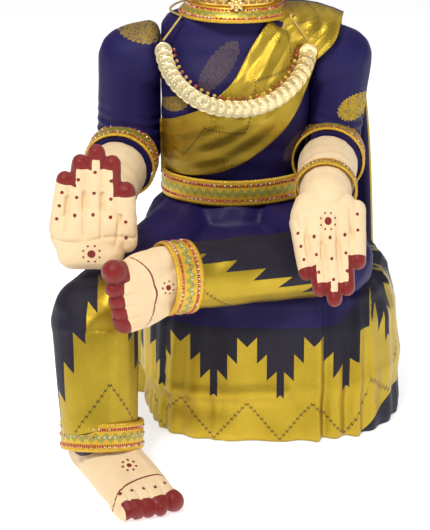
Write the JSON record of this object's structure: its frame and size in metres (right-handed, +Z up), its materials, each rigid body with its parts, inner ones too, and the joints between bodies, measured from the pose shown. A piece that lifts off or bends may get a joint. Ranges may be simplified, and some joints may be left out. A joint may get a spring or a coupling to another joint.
{
  "type": "seated cloth doll in a draped sari",
  "caption": "Seated stuffed cloth doll in a draped sari, one leg crossed over a boxed seat, with turning head, swinging arms, twisting forearms and a swinging coin necklace.",
  "frame": {"origin": "on the floor under the spine post's axis, at the underside of the base board", "axes": "+Z up, +X towards the doll's left side, -Y towards its front"},
  "size_m": [0.3773, 0.4717, 0.674],
  "materials": {
    "plywood": "sanded plywood",
    "dowel_wood": "turned softwood",
    "steel": "bright zinc",
    "fibre_disc": "hardboard disc",
    "navy_silk": "silk with a woven gold border",
    "gold_brocade": "gold-thread brocade",
    "cream_cotton": "stuffed cotton",
    "gold_lace": "gold lace with coloured beads",
    "gilt_metal": "stamped gilt",
    "gilt_bead": "small beads",
    "gilt_cord": "gold-thread cord",
    "hair": "black yarn"
  },
  "bodies": {
    "body": {"base_board": "plywood", "choker": "gilt_metal", "choker_pendant": "gilt_metal", "collar_band": "gold_lace", "flange_screws": "steel", "left_anklet": "gold_lace", "left_body_disc": "fibre_disc", "left_foot": "cream_cotton", "left_shin": "navy_silk", "left_shoulder_bolt": "steel", "left_shoulder_nut": "steel", "left_thigh": "navy_silk", "neck": "cream_cotton", "necklace_back_cord": "gilt_cord", "pelvis": "navy_silk", "post_flange": "dowel_wood", "right_anklet": "gold_lace", "right_body_disc": "fibre_disc", "right_foot": "cream_cotton", "right_shin": "navy_silk", "right_shoulder_bolt": "steel", "right_shoulder_nut": "steel", "right_thigh": "navy_silk", "sari_back_drape": "navy_silk", "sari_chest_drape": "gold_brocade", "sari_lap": "navy_silk", "sari_shoulder_fold": "gold_brocade", "sari_skirt": "navy_silk", "seat_back_panel": "plywood", "seat_board": "plywood", "seat_front_panel": "plywood", "seat_left_panel": "plywood", "seat_right_panel": "plywood", "seat_screws": "steel", "spine_post": "dowel_wood", "torso": "navy_silk", "waist_belt": "gold_lace", "yoke": "dowel_wood", "yoke_screw": "steel"},
    "head": {"head": "cream_cotton", "head_bush": "dowel_wood", "hair": "hair", "hair_bun": "hair", "ear_drops": "gilt_metal"},
    "right_arm": {"right_sleeve": "navy_silk", "right_sleeve_band": "gold_lace", "right_arm_disc": "fibre_disc"},
    "right_forearm": {"right_forearm": "cream_cotton", "right_hand": "cream_cotton", "right_dowel": "dowel_wood"},
    "left_arm": {"left_sleeve": "navy_silk", "left_sleeve_band": "gold_lace", "left_arm_disc": "fibre_disc"},
    "left_forearm": {"left_forearm": "cream_cotton", "left_hand": "cream_cotton", "left_dowel": "dowel_wood", "left_bangle": "gold_lace"},
    "necklace": {"necklace_coins": "gilt_metal", "necklace_beads": "gilt_bead", "necklace_front_cords": "gilt_cord"}
  },
  "joints": [
    {"name": "head_turn", "type": "hinge", "parent": "body", "child": "head", "pos_m": [0, 0, 0.52], "axis": [0, 0, 1], "range_deg": [-35, 35]},
    {"name": "right_shoulder", "type": "hinge", "parent": "body", "child": "right_arm", "pos_m": [-0.116, 0, 0.39], "axis": [-1, 0, 0], "range_deg": [0, 40]},
    {"name": "right_forearm_twist", "type": "hinge", "parent": "right_arm", "child": "right_forearm", "pos_m": [-0.119, 0.006, 0.287], "axis": [-0.1572, -0.9663, -0.2037], "range_deg": [-18, 25]},
    {"name": "left_shoulder", "type": "hinge", "parent": "body", "child": "left_arm", "pos_m": [0.116, 0, 0.39], "axis": [-1, 0, 0], "range_deg": [0, 40]},
    {"name": "left_forearm_twist", "type": "hinge", "parent": "left_arm", "child": "left_forearm", "pos_m": [0.105, 0.004, 0.289], "axis": [-0.0919, -0.9893, -0.1131], "range_deg": [-15, 15]},
    {"name": "necklace_swing", "type": "hinge", "parent": "body", "child": "necklace", "pos_m": [0, -0.0425, 0.4418], "axis": [-1, 0, 0], "range_deg": [0, 20]}
  ]
}
